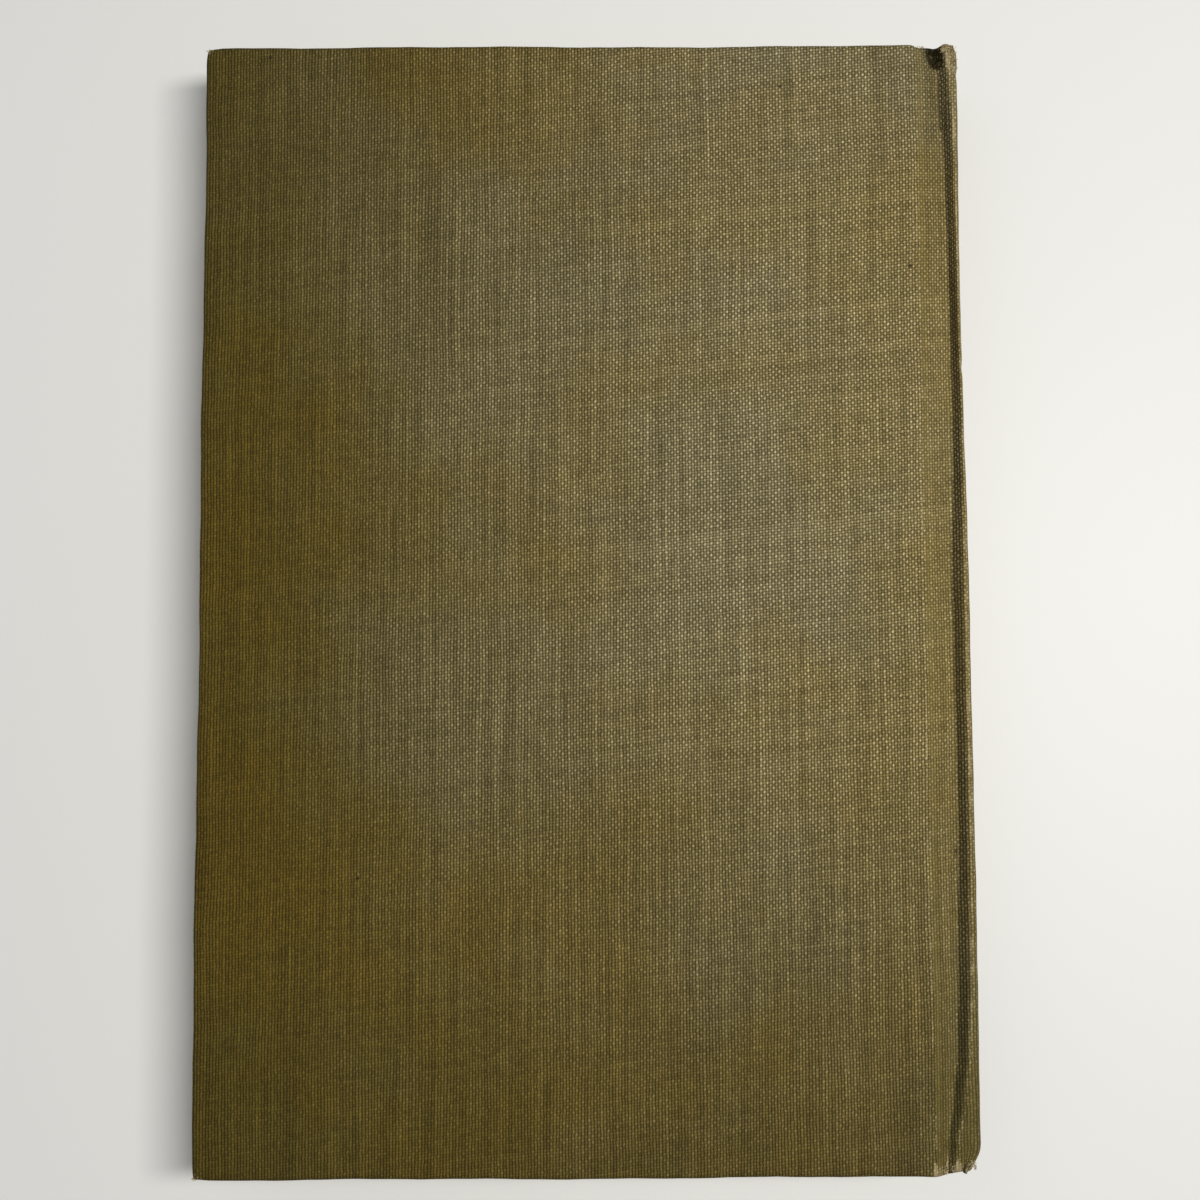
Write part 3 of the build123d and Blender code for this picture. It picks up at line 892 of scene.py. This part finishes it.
class Maker(Wiring):
    """A Geometry Nodes tree with named inputs for its sizes."""

    def __init__(self, name, sizes):
        tree = bpy.data.node_groups.new(name, "GeometryNodeTree")
        tree.interface.new_socket("Geometry", in_out="INPUT", socket_type="NodeSocketGeometry")
        for size_name, kind in sizes.items():
            tree.interface.new_socket(size_name, in_out="INPUT", socket_type="NodeSocket" + kind)
        tree.interface.new_socket("Geometry", in_out="OUTPUT", socket_type="NodeSocketGeometry")
        super().__init__(tree)
        self.entry = tree.nodes.new("NodeGroupInput")

    def size(self, name):
        return Signal(self, self.entry.outputs[name])

    def finish_with(self, geometry, material):
        """Ends the tree: everything made real, with its material."""
        real = self.node("GeometryNodeRealizeInstances", {}, {0: geometry})
        dressed = self.node("GeometryNodeSetMaterial", {}, {"Geometry": real, "Material": material})
        leave = self.tree.nodes.new("NodeGroupOutput")
        self.tree.links.new(dressed.socket, leave.inputs[0])
        return self.tree

    def run(self, piece, values):
        """Runs the tree on a piece with these sizes and keeps the plain mesh."""
        step = piece.modifiers.new("made", "NODES")
        step.node_group = self.tree
        for item in self.tree.interface.items_tree:
            if item.in_out == "INPUT" and item.name in values:
                step[item.identifier] = values[item.name]
        return baked(piece)


def leaf_block_tree(material):
    """Leaves laid one on another, rounded at the back, each a little out of line."""
    sizes = {"Leaves": "Int", "Leaf Length": "Float", "Leaf Height": "Float", "Leaf Step": "Float",
             "Lowest": "Float", "Middle": "Float", "Half Block": "Float", "Leaf Middle": "Float",
             "Round": "Float", "Flare": "Float", "Flare Start": "Float", "Flare End": "Float",
             "Untidy": "Float", "Seed": "Int"}
    m = Maker("leaf_block", sizes)
    start = m.node("ShaderNodeCombineXYZ", {}, {0: m.size("Leaf Middle"), 2: m.size("Lowest")})
    step = m.node("ShaderNodeCombineXYZ", {}, {2: m.size("Leaf Step")})
    line = m.node("GeometryNodeMeshLine", {"mode": "OFFSET"},
                  {"Count": m.size("Leaves"), "Start Location": start, "Offset": step})
    leaf_size = m.node("ShaderNodeCombineXYZ", {}, {0: m.size("Leaf Length"), 1: m.size("Leaf Height"),
                                                    2: m.size("Leaf Step") * 0.84})
    leaf = m.node("GeometryNodeMeshCube", {}, {"Size": leaf_size, "Vertices X": 20,
                                               "Vertices Y": 10, "Vertices Z": 2})
    laid = m.node("GeometryNodeInstanceOnPoints", {}, {"Points": line, "Instance": leaf})
    number = m.node("GeometryNodeInputIndex")
    tone = m.node("FunctionNodeRandomValue", {"data_type": "FLOAT"},
                  {"ID": number, "Seed": m.size("Seed")}, output=1)
    marked = m.node("GeometryNodeStoreNamedAttribute", {"data_type": "FLOAT", "domain": "INSTANCE"},
                    {"Geometry": laid, "Name": "leaf_tone", "Value": tone})
    shifts = []
    for axis_seed in (11, 23):
        drawn = m.node("FunctionNodeRandomValue", {"data_type": "FLOAT"},
                       {2: -1.0, 3: 1.0, "ID": number, "Seed": m.size("Seed") + axis_seed}, output=1)
        shifts.append(drawn * m.size("Untidy"))
    slip = m.node("ShaderNodeCombineXYZ", {}, {0: shifts[0], 1: shifts[1] * 0.6})
    moved = m.node("GeometryNodeTranslateInstances", {}, {"Instances": marked, "Translation": slip})
    real = m.node("GeometryNodeRealizeInstances", {}, {0: moved})
    spot = m.node("GeometryNodeInputPosition")
    x, _, z = m.split(spot)
    level = (z - m.size("Middle")) / m.size("Half Block")
    push = m.size("Round") * (1 - level * level)
    fan = m.node("ShaderNodeMapRange", {"interpolation_type": "SMOOTHSTEP"},
                 {"Value": x, "From Min": m.size("Flare Start"), "From Max": m.size("Flare End")})
    wave = m.node("ShaderNodeTexNoise", {}, {"Vector": spot, "Scale": 60.0, "Detail": 1.0}) - 0.5
    rise = m.size("Flare") * level * fan + wave * m.size("Leaf Step") * 0.5 * (1 - abs(level))
    offset = m.node("ShaderNodeCombineXYZ", {}, {0: push, 2: rise})
    shaped = m.node("GeometryNodeSetPosition", {}, {"Geometry": real, "Offset": offset})
    m.finish_with(shaped, material)
    return m


def make_leaves(name, material):
    """The text block: over a hundred leaves."""
    high_side = PAGES_HIGH[2] - SHOULDER
    low_side = PAGES_LOW[2] + SHOULDER
    step = (high_side - low_side) / LEAVES
    length = PAGES_HIGH[0] - SPINE_ROUND - PAGES_LOW[0]
    height = PAGES_HIGH[1] - PAGES_LOW[1]
    back_edge = PAGES_LOW[0] + length
    maker = leaf_block_tree(material)
    piece = plain_mesh(name, [(0, 0, 0)], [], material)
    return maker.run(piece, {
        "Leaves": LEAVES,
        "Leaf Length": length * MM,
        "Leaf Height": height * MM,
        "Leaf Step": step * MM,
        "Lowest": (low_side + step / 2) * MM,
        "Middle": MID_Z * MM,
        "Half Block": (high_side - low_side) / 2 * MM,
        "Leaf Middle": (PAGES_LOW[0] + length / 2) * MM,
        "Round": SPINE_ROUND * MM,
        "Flare": FLARE_RISE * MM,
        "Flare Start": (back_edge - FLARE_LENGTH) * MM,
        "Flare End": back_edge * MM,
        "Untidy": LEAF_SLIP * MM,
        "Seed": 5})


def fray_tree(material):
    """Short curled threads that stand out of worn edges."""
    m = Maker("frayed_threads", {"Thread Length": "Float", "Thread Radius": "Float", "Seed": "Int"})
    curl = m.node("GeometryNodeCurveQuadraticBezier", {}, {
        "Resolution": 6, "Start": (0, 0, 0), "Middle": (0.35, 0, 0.45), "End": (0.1, 0, 1.0)})
    number = m.node("GeometryNodeInputIndex")
    long = m.node("FunctionNodeRandomValue", {"data_type": "FLOAT"},
                  {2: 0.35, 3: 1.0, "ID": number, "Seed": m.size("Seed")}, output=1)
    aim = m.node("GeometryNodeInputNamedAttribute", {"data_type": "FLOAT_VECTOR"}, {"Name": "aim"})
    turned = m.node("FunctionNodeAlignRotationToVector", {"axis": "Z"}, {"Vector": aim})
    twist = m.node("FunctionNodeRandomValue", {"data_type": "FLOAT_VECTOR"},
                   {0: (-0.7, -0.7, -3.1), 1: (0.7, 0.7, 3.1), "ID": number,
                    "Seed": m.size("Seed") + 3}, output=0)
    spin = m.node("FunctionNodeRotateRotation", {"rotation_space": "LOCAL"},
                  {"Rotation": turned, "Rotate By": twist})
    laid = m.node("GeometryNodeInstanceOnPoints", {}, {
        "Points": m.size("Geometry"), "Instance": curl, "Rotation": spin,
        "Scale": long * m.size("Thread Length")})
    real = m.node("GeometryNodeRealizeInstances", {}, {0: laid})
    ring = m.node("GeometryNodeCurvePrimitiveCircle", {}, {"Resolution": 5,
                                                           "Radius": m.size("Thread Radius")})
    tube = m.node("GeometryNodeCurveToMesh", {}, {"Curve": real, "Profile Curve": ring,
                                                  "Fill Caps": True})
    m.finish_with(tube, material)
    return m


def make_frays(name, material, regions, seed):
    """Frayed threads along worn edges. A region is count, low, high and aim, in millimetres."""
    draw = np.random.default_rng(seed)
    points, aims = [], []
    for count, low, high, aim in regions:
        points.append(draw.uniform(low, high, (count, 3)))
        aims.append(np.tile(aim, (count, 1)) + draw.normal(0, 0.25, (count, 3)))
    piece = plain_mesh(name, np.concatenate(points), [], material)
    layer = piece.data.attributes.new("aim", "FLOAT_VECTOR", "POINT")
    layer.data.foreach_set("vector", np.concatenate(aims).astype(np.float32).ravel())
    return fray_tree(material).run(piece, {"Thread Length": FRAY_LENGTH * MM,
                                           "Thread Radius": FRAY_RADIUS * MM, "Seed": seed})


def fray_regions(front):
    """Where the cloth is frayed: count of threads, low corner, high corner and aim of each."""
    corners = [
        (5, (FORE_X + 0.3, HEAD_Y - 0.8, TOP_Z - 0.9),
         (FORE_X + 0.8, HEAD_Y - 0.5, TOP_Z - 0.4), (-0.5, 0.5, 0.6)),
        (16, (FORE_X + 0.2, -HEAD_Y + 0.3, TOP_Z - 1.6),
         (FORE_X + 1.2, -HEAD_Y + 0.7, TOP_Z - 0.4), (-0.5, -0.9, 0)),
    ]
    if front:
        return [(count, (low[0], low[1], TOP_Z - high[2]), (high[0], high[1], TOP_Z - low[2]),
                 (aim[0], aim[1], -aim[2])) for count, low, high, aim in corners]
    spine_ends = [
        (60, (RIDGE_X - 2.9, HEAD_Y - 1.2, TOP_Z - 0.9),
         (RIDGE_X - 0.4, HEAD_Y - 0.2, TOP_Z - 0.3), (0.2, 0.8, 0.5)),
        (34, (RIDGE_X - 1.4, HEAD_Y - 5.0, TOP_Z - 0.7),
         (RIDGE_X - 0.3, HEAD_Y - 1.2, TOP_Z - 0.4), (0.7, 0.2, 0.6)),
        (16, (BOARD_X + 0.2, HEAD_Y - 0.9, TOP_Z - 0.9),
         (BOARD_X + 1.9, HEAD_Y - 0.3, TOP_Z - 0.5), (0.1, 0.9, 0.5)),
        (44, (BOARD_X - 1.2, -HEAD_Y + 0.6, TOP_Z - 0.9),
         (BOARD_X + 3.6, -HEAD_Y + 1.8, TOP_Z - 0.5), (0.1, -0.9, 0.3)),
        (26, (RIDGE_X - 1.6, -HEAD_Y + 1.2, TOP_Z - 1.6),
         (RIDGE_X - 0.6, -HEAD_Y + 2.6, TOP_Z - 0.9), (0.4, -0.9, 0.2)),
    ]
    return corners + spine_ends


# ---------------------------------------------------------------- build

def joint_place(x, front, depth=0.0):
    """A place in metres at this x and this depth into the spine from a hinge's axis."""
    height = TOP_Z - HINGE_Z if front else HINGE_Z
    way = 1 if front else -1
    return x * MM, 0, (height + way * depth) * MM


def bend_over_joint(piece, front, cover_end, pages_end):
    """Bakes the piece's transform into its mesh; the piece is not bent."""
    if front:
        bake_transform(piece)
    else:
        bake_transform(piece)


def bend_cloth(piece, front):
    """Bakes the transform of the case cloth, or of what is on it, through bend_over_joint; nothing is
    bent.
    """
    on_cover, on_spine = CLOTH_BEND_DEPTHS
    bend_over_joint(piece, front, joint_place(COVER_BEND_X, front, on_cover),
                    joint_place(SPINE_BEND_X, front, on_spine))


def add_case_cloth(side, front, seed):
    """The cloth of one cover, its joint and half the spine."""
    cloth, flat_size, area = make_case_cloth(side + "_case_cloth", CLOTH_FINISH, front, seed)
    bend_cloth(cloth, front)
    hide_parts(side + "_cover_cloth")
    if not front:
        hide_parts("spine_cloth")


def add_endpapers(side, front, seed):
    """The pasted half and the free half of one endpaper."""
    pasted = make_pastedown(side + "_endpaper_pasted", PAPER, front, seed)
    bend_over_joint(pasted, front, joint_place(COVER_BEND_X, front), joint_place(PAPER_BEND_X, front))
    (HINGE_X - PASTE_LOW[0] + 1) * MM
    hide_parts(side + "_pastedown")

    free_leaf = make_flyleaf(side + "_endpaper_free", PAPER, front, seed + 2)
    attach(free_leaf, "pages")
    (HINGE_X - FLY_LOW[0] + 1) * MM
    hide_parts(side + "_flyleaf")


def add_frays(side, front, seed):
    """The broken threads along the worn edges of one cover's cloth."""
    frays = make_frays(side + "_cloth_frays", FRAY, fray_regions(front), seed)
    bend_cloth(frays, front)


for side_name, is_front, cloth_seed, fray_seed in (("back", False, 1.0, 7), ("front", True, 4.0, 8)):
    add_case_cloth(side_name, is_front, cloth_seed)
    add_endpapers(side_name, is_front, cloth_seed)
    add_frays(side_name, is_front, fray_seed)

card_strip = make_spine_card("spine_card_strip", CARD)
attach(card_strip, "pages")
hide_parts("spine_inlay")

leaves = make_leaves("page_leaves", LEAF)
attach(leaves, "pages")
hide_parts("text_block")


# ---------------------------------------------------------------- studio

def lamp(name, place, size_x, size_y, watts, colour, target):
    """A soft rectangular light that faces a target."""
    light = bpy.data.lights.new(name, "AREA")
    light.shape = "RECTANGLE"
    light.size = size_x
    light.size_y = size_y
    light.energy = watts
    light.color = colour
    holder = bpy.data.objects.new(name, light)
    bpy.context.scene.collection.objects.link(holder)
    holder.location = place
    holder.rotation_euler = (Vector(target) - Vector(place)).to_track_quat("-Z", "Y").to_euler()


def studio():
    """Pale floor, a window light at the right, a weak fill, and the camera above."""
    scene = bpy.context.scene
    bpy.ops.mesh.primitive_plane_add(size=6, location=(0, 0, 0))
    floor = bpy.context.object
    floor.name = "pale_floor"
    floor.data.materials.append(FLOOR)
    lamp("window", (0.27, 0.04, 0.74), 0.13, 0.42, 5.2, (1.0, 0.99, 0.96), (0.02, 0, 0))
    lamp("fill", (-0.5, 0.5, 0.9), 0.8, 0.8, 0.8, (0.95, 0.98, 1.0), (0, 0, 0))
    world = scene.world or bpy.data.worlds.new("world")
    scene.world = world
    world.use_nodes = True
    sky = world.node_tree.nodes["Background"]
    air = Wiring(world.node_tree)
    strength = air.room_ray() * 0.58 + 0.18
    sky.inputs["Color"].default_value = (0.98, 0.99, 1.0, 1.0)
    air.tree.links.new(strength.socket, sky.inputs["Strength"])
    scene.view_settings.view_transform = "Standard"
    lens = bpy.data.cameras.new("camera")
    lens.lens = 50
    lens.sensor_width = 36
    eye = bpy.data.objects.new("camera", lens)
    scene.collection.objects.link(eye)
    eye.location = (0.0013, -0.02308, 0.30591)
    eye.rotation_euler = tuple(math.radians(a) for a in (4.496, -0.153, -0.252))
    lens.clip_start = 0.01
    scene.camera = eye


studio()
